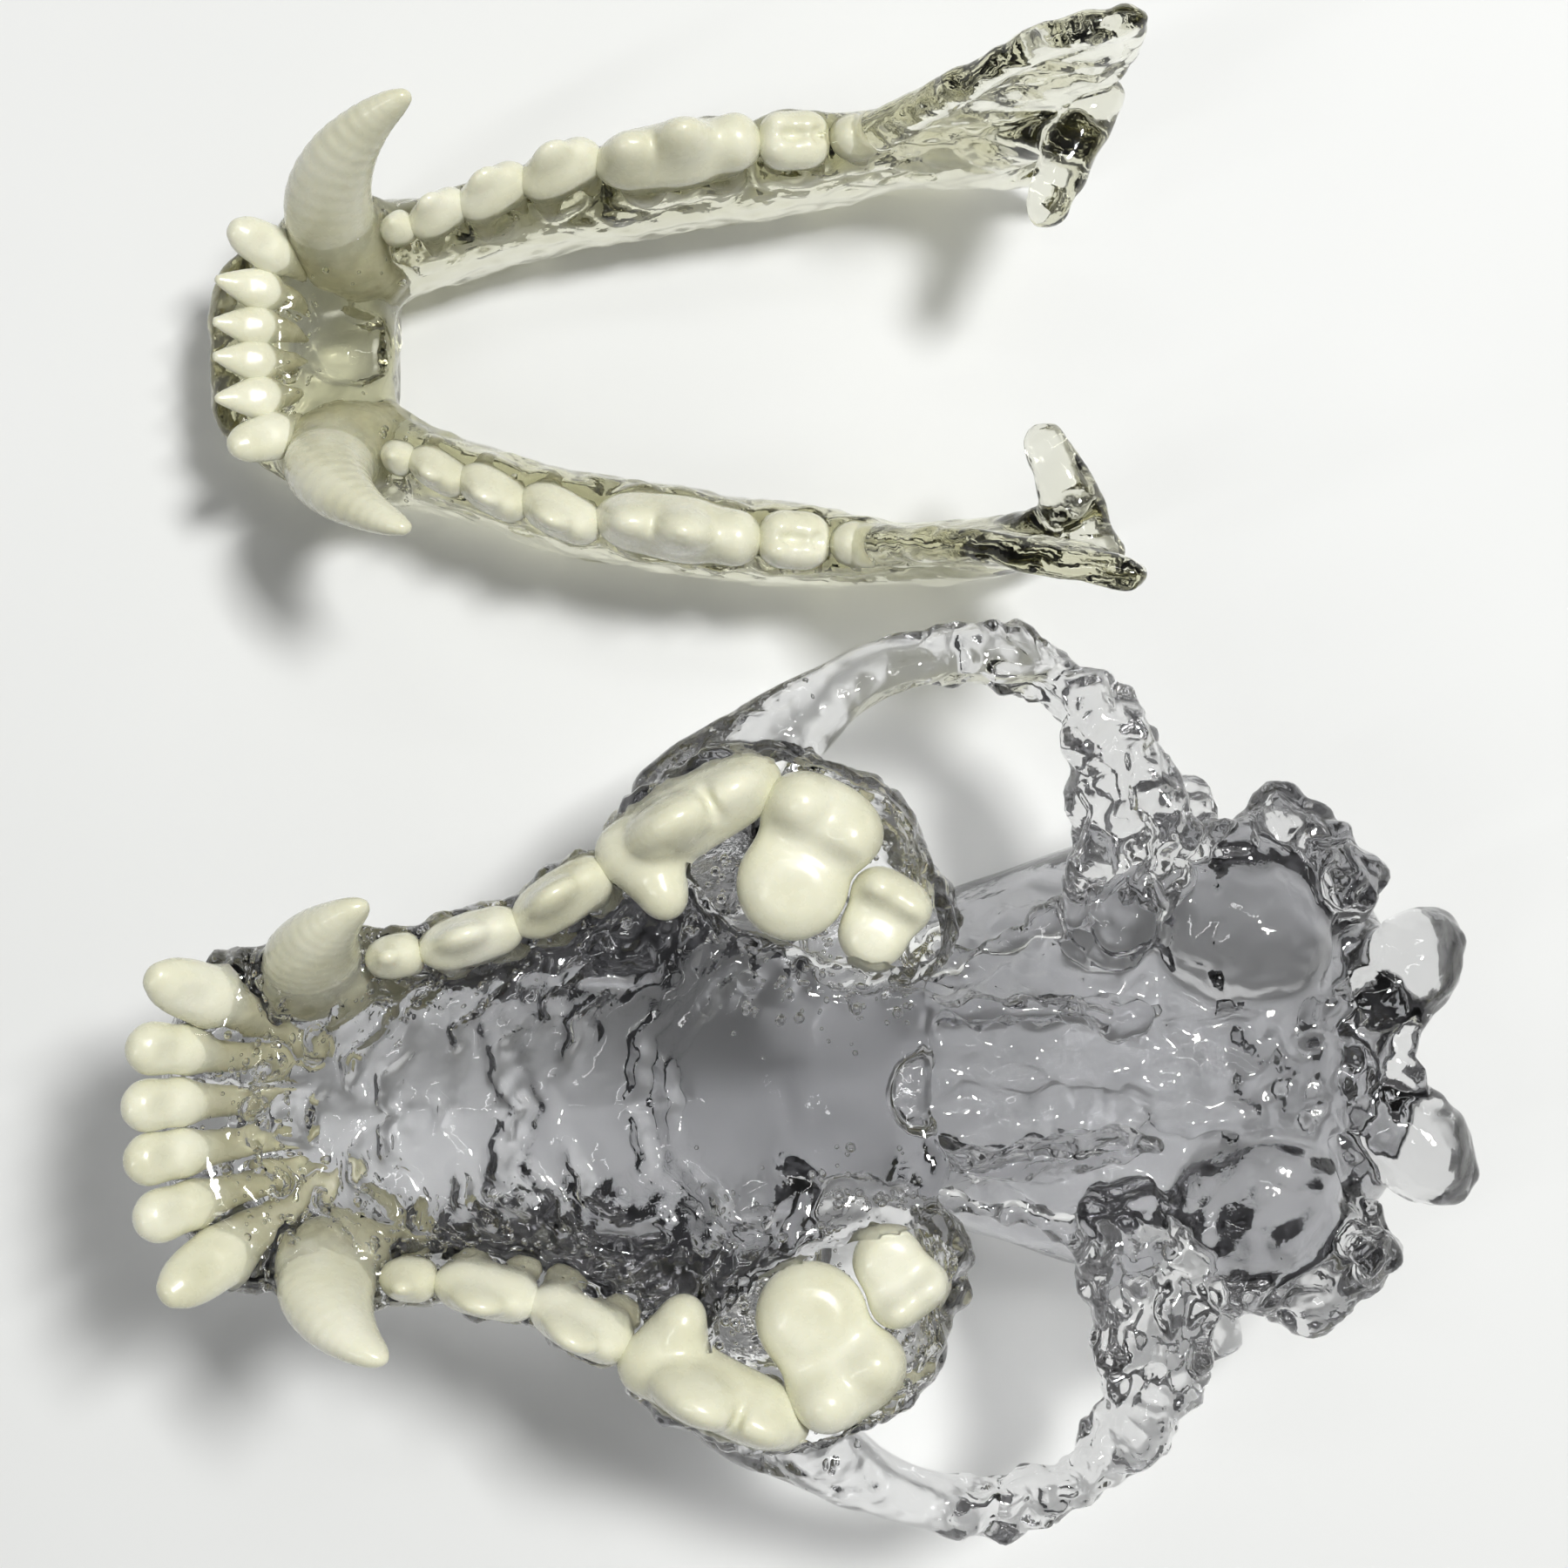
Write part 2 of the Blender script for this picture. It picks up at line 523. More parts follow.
def add_teeth(jaw, teeth, gum, placement, material):
    """Both sides' teeth of one jaw, each in place of its CAD node."""
    left_is_plus_y = jaw == "upper"
    for name, (recipe, sizes, *where) in teeth.items():
        pose = tooth_pose(gum, *where)
        corners, quads = tooth_mesh(recipe(*sizes))
        set_in = np.array([pose @ Vector(c) for c in corners])
        for mirrored in (False, True):
            flip = np.array([1, -1 if mirrored else 1, 1])
            faces = quads[:, ::-1] if mirrored else quads
            side = "left" if left_is_plus_y != mirrored else "right"
            node = f"{jaw}_{side}_{name}"
            body = "skull" if jaw == "upper" else "lower_jaw"
            piece = mesh_piece(f"{node}_tooth", set_in * flip, faces, placement, body,
                               material, np.clip((ROOT_TOP - corners[:, 2]) / ROOT_FADE, 0, 1))
            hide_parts(node)


def collars(clay, teeth, gum, thick, blend):
    """The resin that rises round each neck and bulges over each root, on the +y side."""
    for name, (_, (length, width, _, root, *_), *where) in teeth.items():
        pose = tooth_pose(gum, *where)
        front = pose @ Vector((-length * 0.22, 0, -NECK_DEPTH))
        back = pose @ Vector((length * 0.22, 0, -NECK_DEPTH))
        across = max(width / 2, 1.4) + thick
        clay.add(horn([front, back], [across, across]), blend)
        if name == "canine":
            deep = pose @ Vector((length * 0.35, 0, -root * 0.62))
            clay.add(horn([pose @ Vector((0, 0, -2.0)), deep], [width / 2 + 1.3, width / 2 + 0.8]), 2.0)


# ---------------------------------------------------------------- clear skull

def skull_bodies(clay):
    top = PALATE_Z
    clay.add(hull_body([
        (0.2, 0, 31.0, top - 3.0, 8.0, 9.6),
        (3.0, 0, 28.0, top - 1.0, 10.0, 13.6),
        (9.0, 0, 26.0, top - 0.2, 11.5, 16.6),
        (19.0, 0, 22.0, top - 0.2, 12.6, 19.0),
        (30.0, 0, 17.5, top - 0.2, 13.6, 20.0),
        (40.0, 0, 12.5, top - 0.2, 15.0, 23.6),
        (50.0, 0, 7.0, top - 0.2, 17.5, 31.6),
        (60.0, 0, 1.5, top - 0.2, 19.0, 36.2),
        (65.0, 0, 0.6, top - 0.2, 17.0, 35.0),
    ], 2.8, 2.0))
    clay.add(hull_body([
        (54.0, 0, top - 15.0, top - 0.2, 28.0, 32.6),
        (66.0, 0, top - 13.0, top - 0.2, 27.0, 34.6),
        (71.0, 0, top - 12.0, top - 0.2, 24.0, 30.2),
        (PALATE_END, 0, top - 11.0, top - 0.4, 19.5, 24.4),
    ], 3.4, 1.4), 2.0)
    clay.add(hull_body([
        (52.0, 0, 5.0, 41.0, 14.0, 15.0),
        (64.0, 0, 1.0, 39.0, 16.0, 12.0),
        (74.0, 0, 0.8, 38.0, 18.5, 12.0),
        (84.0, 0, 1.2, 37.0, 22.5, 15.5),
        (96.0, 0, 1.6, 36.5, 25.8, 19.5),
        (108.0, 0, 1.8, 36.0, 25.0, 21.0),
        (118.0, 0, 2.0, 35.0, 21.5, 20.0),
        (124.0, 0, 1.2, 34.5, 19.0, 18.0),
        (128.0, 0, 6.0, 33.0, 14.0, 14.5),
    ], 2.3, 3.0), 2.5)


def skull_arches(clay):
    out = ARCH_WIDTH / 2 - 3.1
    clay.add(horn([(56.0, out - 17.0, 37.0), (65.0, out - 7.2, 36.6), (74.0, out - 1.6, 35.4),
                   (84.0, out, 34.4), (93.5, out - 3.8, 34.4), (99.5, out - 11.0, 35.6),
                   (101.0, out - 20.0, 37.0)],
                  [4.4, 3.7, 3.1, 2.9, 3.0, 3.6, 4.2], (1, 1, 1.45)), 3.0)
    # the muscle's ledge along the arch, and the flare where it leaves the upper jaw
    clay.add(horn([(60.0, out - 11.4, 41.5), (68.0, out - 5.4, 40.6), (78.0, out - 1.2, 38.6),
                   (90.0, out - 2.6, 38.0)], [1.9, 1.5, 1.2, 1.0]), 1.6)
    clay.add(horn([(52.0, 30.5, 36.0), (60.0, 35.0, 37.0), (67.0, 38.6, 38.0)], [3.4, 4.0, 2.8]), 3.0)
    clay.cut(horn([(70.0, 28.6, 44.0), (72.5, 33.0, 40.0), (71.0, 38.0, 43.0)], [1.4, 2.2, 1.6]), 1.6)
    # the jaw joint's socket, across the head, and the lip behind it
    clay.add(horn([(97.0, 16.0, 36.0), (98.5, 25.0, 37.2), (97.5, 35.0, 36.6)], [5.2, 5.0, 4.0]), 2.0)
    clay.add(horn([(102.4, 18.0, 38.0), (103.2, 24.0, 40.6), (102.0, 31.0, 38.6)], [2.0, 2.4, 1.6]), 1.4)
    clay.cut(horn([(96.4, 17.0, 43.2), (97.0, 25.0, 43.6), (95.4, 33.0, 42.8)], [2.6, 3.4, 3.0]), 1.0)


def skull_vault(clay):
    # the brow and its bump, then the crest along the brain case and the ridge across its back
    clay.add(horn([(69.0, 12.0, 6.4), (74.0, 18.0, 6.8), (77.5, 22.0, 9.0)], [4.6, 3.6, 1.3]), 2.4)
    clay.add(ball((70.0, 10.0, 5.8), (8.0, 7.0, 5.6)), 2.0)
    clay.add(horn([(84.0, 0, 4.4), (100.0, 0, 3.6), (116.0, 0, 3.4), (124.0, 0, 5.0)],
                  [2.0, 2.0, 2.4, 3.2]), 2.0)
    clay.add(ball((122.0, 0, 5.8), (3.4, 14.6, 5.6)), 1.6)


def skull_base(clay):
    # walls of the air passage behind the palate, the passage, and the thin wall in its middle
    clay.add(horn([(75.0, 8.4, 36.0), (84.0, 7.8, 37.6), (92.0, 7.0, 38.4), (98.0, 6.4, 38.4)],
                  [1.9, 1.7, 1.5, 1.2], (1, 1, 4.6)), 2.0)
    clay.add(horn([(96.0, 6.6, 42.0), (99.0, 6.6, 43.4), (100.4, 7.0, 42.4)], [1.2, 1.0, 0.6]), 0.8)
    clay.cut(horn([(77.6, 0, 41.0), (84.0, 0, 42.0), (90.0, 0, 42.8), (97.0, 0, 44.6)],
                  [4.6, 5.2, 5.0, 4.0]), 1.2)
    clay.add(horn([(76.0, 0, 36.6), (88.0, 0, 37.2), (98.0, 0, 38.6)], [0.8, 0.9, 1.6]), 1.4)
    # the flat bar between the ear capsules, with its two low ridges
    clay.add(horn([(96.0, 0, 36.0), (108.0, 0, 36.4), (118.0, 0, 35.0), (126.0, 0, 32.6)],
                  [3.6, 4.2, 4.6, 4.6], (1, 1.35, 0.75)), 1.6)
    clay.add(horn([(100.0, 4.4, 38.2), (110.0, 4.8, 38.4), (119.0, 6.0, 36.6)], [1.0, 1.1, 1.2]), 1.2)
    clay.cut(ball((104.0, 8.6, 39.6), (4.4, 1.9, 2.6), (0, 0, 10)), 1.0)
    # the hollow between the side wall of the passage and the brain case
    clay.cut(ball((84.0, 14.4, 40.0), (9.0, 4.2, 6.4), (0, 0, 6)), 2.2)
    clay.add(horn([(79.0, 12.0, 36.5), (86.0, 14.0, 35.2), (94.0, 17.0, 36.0)], [1.4, 1.2, 1.6]), 1.2)
    # ear capsule, ear opening, and the processes round it
    clay.add(ball((111.0, 14.0, 35.4), (9.2, 7.6, 7.0), (0, 0, -24)), 2.2)
    clay.add(horn([(104.6, 19.6, 34.0), (106.0, 24.0, 33.0), (107.0, 28.4, 31.0)], [2.6, 2.8, 2.2]), 1.4)
    clay.cut(ball((110.6, 26.6, 33.4), (2.2, 2.6, 2.2)), 0.8)
    clay.add(ball((115.6, 23.6, 30.6), (5.4, 4.6, 5.6), (0, 0, 30)), 3.0)
    clay.add(ball((118.6, 21.2, 34.6), (4.2, 2.8, 3.2), (0, 0, 40)), 2.6)
    clay.add(ball((110.4, 22.4, 35.6), (4.0, 2.6, 3.0), (0, 0, -20)), 2.2)
    clay.add(horn([(119.4, 17.6, 30.0), (121.6, 18.6, 36.4), (120.8, 18.4, 40.0), (119.6, 17.6, 42.6)],
                  [4.4, 3.4, 2.4, 1.2]), 2.4)
    # the two rounded joints with the neck and the notch between them
    clay.add(ball((128.8, 9.4, 31.6), (5.0, 6.4, 6.0), (0, 0, -22)), 1.6)
    clay.add(ball((124.6, 6.6, 34.2), (4.4, 3.2, 3.0), (0, 0, 30)), 1.4)
    clay.cut(horn([(126.6, 0, 24.0), (140.0, 0, 22.0)], [6.0, 6.6]), 1.0)
    clay.cut(ball((132.6, 0, 32.0), (4.6, 3.6, 8.0)), 1.0)


def palate_ridges(x, y, z):
    """Cross ridges of the hard palate: bowed forwards, wavy and broken, fading towards the teeth."""
    amount = np.zeros(np.broadcast(x, y, z).shape, np.float32)
    for i in range(RIDGES):
        start = 11.0 + 4.3 * i + 0.3 * i * math.sin(i * 1.7)
        wave = 0.7 * np.sin(y * 0.75 + i * 1.9) + 0.35 * np.sin(y * 1.9 + i * 4.1)
        line = x - start - (0.030 + 0.002 * i) * y * y + wave
        near = np.exp(-(line / 0.62) ** 2) - 0.55 * np.exp(-((line - 1.5) / 0.9) ** 2)
        broken = 0.55 + 0.45 * np.sin(y * 0.55 + i * 2.3)
        reach = np.clip((12.5 + 0.06 * start - np.abs(y)) / 3.0, 0, 1)
        amount = amount + near * reach * broken * (2.1 if i < 8 else 1.2)
    seam = np.exp(-(y / 0.7) ** 2) * np.clip((52.0 - x) / 8.0, 0, 1)
    facing = np.clip((z - 40.0) / 2.0, 0, 1)
    return ((amount - 0.25 * seam) * facing).astype(np.float32)


def skull_palate(clay):
    top = PALATE_Z
    clay.cut(ball((42.0, 0, top + 6.0), (46.0, 14.0, 9.2)), 2.4)
    clay.swell((8.0, 0, 40.0), (58.0, 17.0, top + 3.0), palate_ridges)
    # the palate's back edge: a thick rolled lip with a short spine in its middle
    clay.add(horn([(76.0, 0, top - 2.0), (76.2, 6.0, top - 1.6), (75.0, 11.0, top - 1.4)],
                  [1.5, 1.4, 1.3]), 1.4)
    clay.cut(ball((78.8, 0, top - 4.0), (1.6, 3.4, 4.0)), 0.8)
    for x, y, long, wide in ((12.4, 3.2, 3.2, 1.1), (60.0, 11.8, 1.4, 0.9), (47.0, 13.0, 4.0, 1.0)):
        clay.cut(ball((x, y, top - 1.2), (long, wide, 1.6)), 0.8)


def skull_openings(clay):
    # the nose opening, the small opening ahead of the eye's hollow, and that hollow
    clay.cut(horn([(-6.0, 0, 32.5), (5.0, 0, 34.0)], [5.6, 4.6]), 1.0)
    clay.cut(horn([(42.0, 25.0, 31.0), (50.0, 21.0, 30.0)], [2.0, 1.6], (1, 1, 1.4)), 1.0)
    clay.cut(ball((67.0, 22.5, 24.0), (6.5, 6.0, 9.5)), 2.0)


def skull_clay():
    clay = Clay((-1.5, 0.0, -1.2), (SKULL_LENGTH + 1.5, ARCH_WIDTH / 2 + 1.6, PALATE_Z + 2.1), SKULL_STEP)
    skull_bodies(clay)
    skull_arches(clay)
    skull_vault(clay)
    skull_openings(clay)
    skull_base(clay)
    collars(clay, UPPER_TEETH, PALATE_Z, 0.9, 1.6)
    skull_palate(clay)
    return clay.mirrored()


# ---------------------------------------------------------------- clear lower jaw

def jaw_clay():
    top = JAW_GUM_Z
    clay = Clay((-3.0, 0.0, -1.2), (100.5, 31.5, 52.5), JAW_STEP)
    clay.add(hull_body([
        (6.0, 7.4, 6.0, top - 2.0, 6.0, 5.8),
        (13.0, 10.4, 2.8, top - 0.4, 6.2, 6.2),
        (22.0, 12.4, 1.4, top - 0.2, 4.8, 4.6),
        (36.0, 16.8, 0.2, top - 0.2, 4.8, 4.7),
        (50.0, 19.4, 0.2, top, 4.9, 4.8),
        (66.0, 21.4, 1.0, top + 1.0, 4.5, 4.2),
        (78.0, 22.2, 3.4, top + 5.0, 3.0, 2.4),
        (88.0, 22.0, 7.4, top + 9.0, 2.0, 1.8),
    ], 2.3, 2.0))
    clay.add(hull_body([
        (-1.2, 0, 9.5, top - 4.2, 6.0, 9.2),
        (2.0, 0, 6.0, top - 2.6, 8.5, 12.4),
        (9.0, 0, 3.4, top - 1.8, 9.6, 14.6),
        (16.0, 0, 3.8, top - 3.2, 8.0, 11.6),
        (19.0, 0, 5.4, top - 5.2, 7.0, 9.6),
    ], 2.7, 2.0), 2.4)
    # the tall blade, its thick front edge, and the hollow on its outer face
    clay.add(horn([(80.0, 22.4, 16.0), (83.5, 22.9, 26.0), (88.5, 24.2, 36.0), (93.0, 26.0, 43.4),
                   (95.6, 27.2, 47.4)], [10.4, 8.6, 6.6, 4.4, 2.2], (1, 0.20, 1)), 1.0)
    clay.add(horn([(70.0, 21.9, 21.0), (75.6, 22.6, 30.0), (82.0, 23.8, 40.0), (89.0, 25.8, 46.6),
                   (95.8, 27.4, 48.4)], [2.2, 1.9, 1.7, 1.5, 1.3]), 1.2)
    clay.add(horn([(95.6, 27.4, 48.0), (97.4, 26.8, 42.0), (94.4, 24.6, 34.0)], [1.2, 0.9, 1.0]), 1.0)
    clay.cut(ball((82.0, 27.6, 21.0), (8.5, 3.4, 9.0), (0, 20, 0)), 1.4)
    # the roller of the jaw joint, its neck, and the hook below
    clay.add(horn([(89.6, 12.4, 31.8), (92.0, 18.0, 32.6), (95.2, 23.6, 31.6)], [2.2, 2.9, 2.4]), 1.0)
    clay.add(horn([(82.0, 22.0, 17.0), (88.0, 21.2, 25.0), (91.8, 19.4, 30.6)],
                  [6.0, 4.2, 2.8], (1, 0.55, 1)), 1.6)
    clay.add(horn([(80.0, 22.2, 10.6), (88.0, 21.4, 8.8), (94.4, 20.4, 10.4)],
                  [5.4, 3.6, 1.3], (1, 0.55, 1)), 1.6)
    clay.cut(horn([(72.0, 17.0, 15.0), (78.0, 19.6, 16.0)], [1.0, 1.0]), 0.8)
    for x, y in ((16.0, 14.6), (27.0, 18.6)):
        clay.cut(ball((x, y + 1.8, 10.0), (1.8, 1.6, 1.1)), 0.8)
    collars(clay, LOWER_TEETH, top, 0.55, 1.2)
    # the hollow behind the front teeth
    clay.cut(ball((15.2, 0, top + 0.6), (6.6, 4.8, 9.0)), 1.2)
    return clay.mirrored()


# ---------------------------------------------------------------- bubbles in the resin

def icosphere():
    """Corners and triangles of a small round ball, facing inwards."""
    golden = (1 + 5 ** 0.5) / 2
    corners = np.array([(-1, golden, 0), (1, golden, 0), (-1, -golden, 0), (1, -golden, 0), (0, -1, golden),
                        (0, 1, golden), (0, -1, -golden), (0, 1, -golden), (golden, 0, -1), (golden, 0, 1),
                        (-golden, 0, -1), (-golden, 0, 1)], float)
    faces = [(0, 11, 5), (0, 5, 1), (0, 1, 7), (0, 7, 10), (0, 10, 11), (1, 5, 9), (5, 11, 4), (11, 10, 2),
             (10, 7, 6), (7, 1, 8), (3, 9, 4), (3, 4, 2), (3, 2, 6), (3, 6, 8), (3, 8, 9), (4, 9, 5),
             (2, 4, 11), (6, 2, 10), (8, 6, 7), (9, 8, 1)]
    points = [c / np.linalg.norm(c) for c in corners]
    split = []
    made = {}

    def halfway(a, b):
        key = (min(a, b), max(a, b))
        if key not in made:
            middle = points[a] + points[b]
            points.append(middle / np.linalg.norm(middle))
            made[key] = len(points) - 1
        return made[key]

    for a, b, c in faces:
        ab, bc, ca = halfway(a, b), halfway(b, c), halfway(c, a)
        split += [(a, ab, ca), (b, bc, ab), (c, ca, bc), (ab, bc, ca)]
    return np.array(points), np.array(split)[:, ::-1]


def bubbles(clay, teeth, gum, count, seed):
    """Places for bubbles: close to the roots, well inside the resin and clear of every tooth."""
    rng = np.random.default_rng(seed)
    found = []
    poses = [(tooth_pose(gum, *where), sizes[0], sizes[1], sizes[3]) for _, sizes, *where in teeth.values()]
    for _ in range(count):
        pose, length, width, root = poses[rng.integers(len(poses))]
        angle = rng.uniform(0, 2 * math.pi)
        out = 1.12 + abs(rng.normal(0, 0.7))
        spot = pose @ Vector((math.cos(angle) * (length / 2 * out + 0.5),
                              math.sin(angle) * (width / 2 * out + 0.5),
                              -1.2 - rng.uniform(0, 1) ** 2 * root * 0.8))
        size = 0.20 + 0.42 * rng.uniform(0, 1) ** 3
        spot = np.array(spot) * (1, rng.choice((-1, 1)), 1)
        index = np.round((spot - clay.low) / clay.step).astype(int)
        if (index < 0).any() or (index >= clay.value.shape).any():
            continue
        if clay.value[tuple(index)] < -size - 0.5:
            found.append((spot, size))
    return found


def add_casting(jaw, clay, layers, seed, found, placement, material):
    """A jaw's clear casting with its bubbles, in place of its CAD node."""
    corners, quads = surface_net(clay)
    corners = relaxed(corners, quads, 5)
    corners = lumpy(corners, quads, layers, seed)
    corners[:, 2] = np.maximum(corners[:, 2], 0.0)
    tris = np.concatenate([quads[:, [0, 1, 2]], quads[:, [0, 2, 3]]])
    points, ball_faces = icosphere()
    all_corners, all_faces = [corners], [tris]
    start = len(corners)
    for spot, size in found:
        all_corners.append(points * size + spot)
        all_faces.append(ball_faces + start)
        start += len(points)
    piece = mesh_piece(f"{jaw}_casting", np.concatenate(all_corners), np.concatenate(all_faces),
                       placement, jaw, material)
    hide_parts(jaw)


# ---------------------------------------------------------------- materials

def new_material(name):
    material = bpy.data.materials.new(name)
    material.use_nodes = True
    nodes = material.node_tree.nodes
    nodes.clear()
    return material, nodes, material.node_tree.links


def noise_node(nodes, links, coordinates, scale, detail, roughness, distortion=0.0):
    node = nodes.new("ShaderNodeTexNoise")
    node.inputs["Scale"].default_value = scale
    node.inputs["Detail"].default_value = detail
    node.inputs["Roughness"].default_value = roughness
    node.inputs["Distortion"].default_value = distortion
    links.new(coordinates.outputs["Object"], node.inputs["Vector"])
    return node


def ramp_node(nodes, links, source, stops):
    node = nodes.new("ShaderNodeValToRGB")
    while len(node.color_ramp.elements) < len(stops):
        node.color_ramp.elements.new(0.5)
    for element, (place, colour) in zip(node.color_ramp.elements, stops):
        element.position = place
        element.color = (*colour, 1) if len(colour) == 3 else (colour[0],) * 3 + (1,)
    links.new(source, node.inputs["Fac"])
    return node


def bump_node(nodes, links, height, distance, strength, below=None):
    node = nodes.new("ShaderNodeBump")
    node.inputs["Distance"].default_value = distance
    node.inputs["Strength"].default_value = strength
    links.new(height, node.inputs["Height"])
    if below is not None:
        links.new(below.outputs["Normal"], node.inputs["Normal"])
    return node


def clear_resin(name, tint, tint_thin, absorb, density, shade):
    """Glossy cast resin: clear, tinted by its depth, with faint flow marks and a few dull patches.
    Light for the shadows passes straight through, dimmed to shade."""
    material, nodes, links = new_material(name)
    where = nodes.new("ShaderNodeTexCoord")
    flow = noise_node(nodes, links, where, 160.0, 3.0, 0.55, 0.6)
    fine = noise_node(nodes, links, where, 900.0, 2.0, 0.5)
    patch = noise_node(nodes, links, where, 70.0, 4.0, 0.6)
    colour = ramp_node(nodes, links, patch.outputs["Fac"], [(0.3, tint), (0.7, tint_thin)])
    dull = ramp_node(nodes, links, patch.outputs["Fac"], [(0.42, (0.02,)), (0.75, (0.11,))])
    ripple = bump_node(nodes, links, flow.outputs["Fac"], 0.0006, 0.35)
    grain = bump_node(nodes, links, fine.outputs["Fac"], 0.0001, 0.25, ripple)
    shader = nodes.new("ShaderNodeBsdfPrincipled")
    shader.inputs["Transmission Weight"].default_value = 1.0
    shader.inputs["IOR"].default_value = 1.48
    links.new(colour.outputs["Color"], shader.inputs["Base Color"])
    links.new(dull.outputs["Color"], shader.inputs["Roughness"])
    links.new(grain.outputs["Normal"], shader.inputs["Normal"])
    through = nodes.new("ShaderNodeBsdfTransparent")
    through.inputs["Color"].default_value = (*shade, 1)
    rays = nodes.new("ShaderNodeLightPath")
    mix = nodes.new("ShaderNodeMixShader")
    links.new(rays.outputs["Is Shadow Ray"], mix.inputs["Fac"])
    links.new(shader.outputs["BSDF"], mix.inputs[1])
    links.new(through.outputs["BSDF"], mix.inputs[2])
    depth = nodes.new("ShaderNodeVolumeAbsorption")
    depth.inputs["Color"].default_value = (*absorb, 1)
    depth.inputs["Density"].default_value = density
    out = nodes.new("ShaderNodeOutputMaterial")
    links.new(mix.outputs["Shader"], out.inputs["Surface"])
    links.new(depth.outputs["Volume"], out.inputs["Volume"])
    return material


def tooth_resin(name):
    """Ivory cast resin: warm clouds and a wet gloss on the crown, dull olive on the root."""
    material, nodes, links = new_material(name)
    where = nodes.new("ShaderNodeTexCoord")
    cloud = noise_node(nodes, links, where, 90.0, 4.0, 0.55)
    fine = noise_node(nodes, links, where, 700.0, 3.0, 0.6)
    crown = ramp_node(nodes, links, cloud.outputs["Fac"],
                      [(0.30, (0.66, 0.65, 0.47)), (0.52, (0.76, 0.755, 0.59)), (0.74, (0.84, 0.835, 0.70))])
    root = ramp_node(nodes, links, cloud.outputs["Fac"],
                     [(0.35, (0.50, 0.48, 0.31)), (0.65, (0.68, 0.665, 0.49))])
    depth = nodes.new("ShaderNodeAttribute")
    depth.attribute_name = "depth"
    colour = nodes.new("ShaderNodeMix")
    colour.data_type = "RGBA"
    links.new(depth.outputs["Fac"], colour.inputs["Factor"])
    links.new(crown.outputs["Color"], colour.inputs["A"])
    links.new(root.outputs["Color"], colour.inputs["B"])
    gloss = ramp_node(nodes, links, fine.outputs["Fac"], [(0.3, (0.20,)), (0.7, (0.34,))])
    bump = bump_node(nodes, links, cloud.outputs["Fac"], 0.0004, 0.25)
    grain = bump_node(nodes, links, fine.outputs["Fac"], 0.00006, 0.3, bump)
    shader = nodes.new("ShaderNodeBsdfPrincipled")
    shader.inputs["Subsurface Weight"].default_value = 0.2
    shader.inputs["Subsurface Radius"].default_value = (1.0, 0.8, 0.5)
    shader.inputs["Subsurface Scale"].default_value = 0.0012
    shader.inputs["IOR"].default_value = 1.5
    shader.inputs["Coat Weight"].default_value = 0.3
    shader.inputs["Coat Roughness"].default_value = 0.12
    links.new(colour.outputs["Result"], shader.inputs["Base Color"])
    links.new(gloss.outputs["Color"], shader.inputs["Roughness"])
    links.new(grain.outputs["Normal"], shader.inputs["Normal"])
    out = nodes.new("ShaderNodeOutputMaterial")
    links.new(shader.outputs["BSDF"], out.inputs["Surface"])
    return material


def table_top(name):
    material, nodes, links = new_material(name)
    where = nodes.new("ShaderNodeTexCoord")
    cloud = noise_node(nodes, links, where, 8.0, 3.0, 0.5)
    colour = ramp_node(nodes, links, cloud.outputs["Fac"],
                       [(0.3, (0.80, 0.81, 0.80)), (0.7, (0.84, 0.85, 0.84))])
    shader = nodes.new("ShaderNodeBsdfPrincipled")
    shader.inputs["Roughness"].default_value = 0.8
    shader.inputs["Specular IOR Level"].default_value = 0.1
    links.new(colour.outputs["Color"], shader.inputs["Base Color"])
    out = nodes.new("ShaderNodeOutputMaterial")
    links.new(shader.outputs["BSDF"], out.inputs["Surface"])
    return material


# ---------------------------------------------------------------- pieces

def everywhere(corners):
    return np.ones(len(corners))


def back_of_head(corners):
    """1 on the base of the skull, but less on the smoother ear capsules and neck joints."""
    x, y, z = corners[:, 0], np.abs(corners[:, 1]), corners[:, 2]
    capsule = np.hypot((x - 111.0) / 9.5, (y - 13.8) / 8.0)
    joint = np.hypot((x - 128.4) / 5.5, (y - 9.4) / 7.0)
    smooth = np.clip((np.minimum(capsule, joint) - 0.85) / 0.35, 0.3, 1)
    return np.clip((x - 74.0) / 8.0, 0, 1) * np.clip((z - 22.0) / 8.0, 0, 1) * smooth


def tooth_rows(corners):
    side = np.abs(corners[:, 1])
    return (np.clip((side - 8.0) / 3.0, 0, 1) * np.clip((corners[:, 2] - 38.0) / 5.0, 0, 1)
            * np.clip((78.0 - corners[:, 0]) / 3.0, 0, 1))


def build_skull(resin):
    clay = skull_clay()
    found = bubbles(clay, UPPER_TEETH, PALATE_Z, count=3600, seed=11)
    layers = [(9.0, 0.5, everywhere), (4.0, 1.5, back_of_head), (1.9, 0.85, back_of_head),
              (2.0, 0.7, tooth_rows), (1.1, 0.3, tooth_rows)]
    add_casting("skull", clay, layers, 1, found, SKULL_PLACE, resin)


def build_lower_jaw(resin):
    clay = jaw_clay()
    found = bubbles(clay, LOWER_TEETH, JAW_GUM_Z, count=500, seed=5)
    layers = [(7.0, 0.35, everywhere), (2.4, 0.32, everywhere)]
    add_casting("lower_jaw", clay, layers, 2, found, JAW_PLACE, resin)


